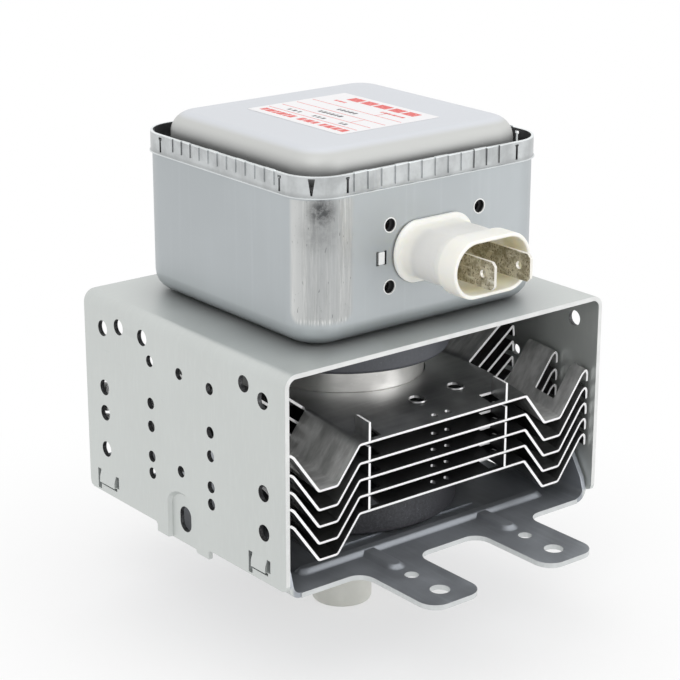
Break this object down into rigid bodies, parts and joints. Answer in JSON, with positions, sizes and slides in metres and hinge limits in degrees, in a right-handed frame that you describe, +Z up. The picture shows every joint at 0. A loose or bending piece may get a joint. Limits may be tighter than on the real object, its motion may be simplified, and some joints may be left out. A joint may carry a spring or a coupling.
{
  "type": "microwave oven magnetron",
  "caption": "Fin-cooled magnetron tube in an open steel yoke, with a filter box on top, a capacitor socket in front, mounting ears and an antenna below.",
  "frame": {"origin": "centre of the antenna's flat tip, on the tube's axis", "axes": "+Z up along the tube's axis towards the filter box, -Y towards the capacitor socket and the open front of the fins, +X to the right seen from the front"},
  "size_m": [0.095, 0.1264, 0.1232],
  "materials": {
    "zinc_steel": "satin",
    "filter_box_steel": "satin",
    "fin_aluminium": "satin",
    "ferrite_magnet": "matte",
    "anode_copper": "satin",
    "shell_steel": "polished",
    "pole_iron": "satin",
    "alumina_ceramic": "matte",
    "antenna_cream": "satin",
    "socket_plastic": "satin",
    "terminal_tin": "satin",
    "coil_enamel": "gloss",
    "core_ferrite": "matte",
    "cathode_metal": "satin",
    "gasket_mesh": "matte"
  },
  "bodies": {
    "root": {"yoke_upper": "zinc_steel", "yoke_lower_plate": "zinc_steel", "filter_box": "filter_box_steel", "filter_box_lid": "filter_box_steel", "capacitor_housing": "socket_plastic", "capacitor_backing_plate": "filter_box_steel", "terminal_tab_left": "terminal_tin", "terminal_tab_right": "terminal_tin", "choke_coil_left": "coil_enamel", "choke_coil_right": "coil_enamel", "ferrite_core_left": "core_ferrite", "ferrite_core_right": "core_ferrite", "lower_magnet": "ferrite_magnet", "upper_magnet": "ferrite_magnet", "anode_cylinder": "shell_steel", "anode_vane_01": "anode_copper", "anode_vane_02": "anode_copper", "anode_vane_03": "anode_copper", "anode_vane_04": "anode_copper", "anode_vane_05": "anode_copper", "anode_vane_06": "anode_copper", "anode_vane_07": "anode_copper", "anode_vane_08": "anode_copper", "anode_vane_09": "anode_copper", "anode_vane_10": "anode_copper", "strap_ring_upper_inner": "anode_copper", "strap_ring_upper_outer": "anode_copper", "strap_ring_lower_inner": "anode_copper", "strap_ring_lower_outer": "anode_copper", "pole_piece_upper": "pole_iron", "pole_piece_lower": "pole_iron", "upper_sealing_shell": "shell_steel", "lower_sealing_shell": "shell_steel", "stem_ceramic": "alumina_ceramic", "filament_lead_left": "cathode_metal", "filament_lead_right": "cathode_metal", "cathode_hat_upper": "cathode_metal", "cathode_hat_lower": "cathode_metal", "cathode_filament": "cathode_metal", "output_ceramic": "alumina_ceramic", "antenna_cap": "antenna_cream", "antenna_lead": "anode_copper", "rf_gasket": "gasket_mesh", "cooling_fin_1": "fin_aluminium", "cooling_fin_2": "fin_aluminium", "cooling_fin_3": "fin_aluminium", "cooling_fin_4": "fin_aluminium", "cooling_fin_5": "fin_aluminium"}
  },
  "joints": []
}
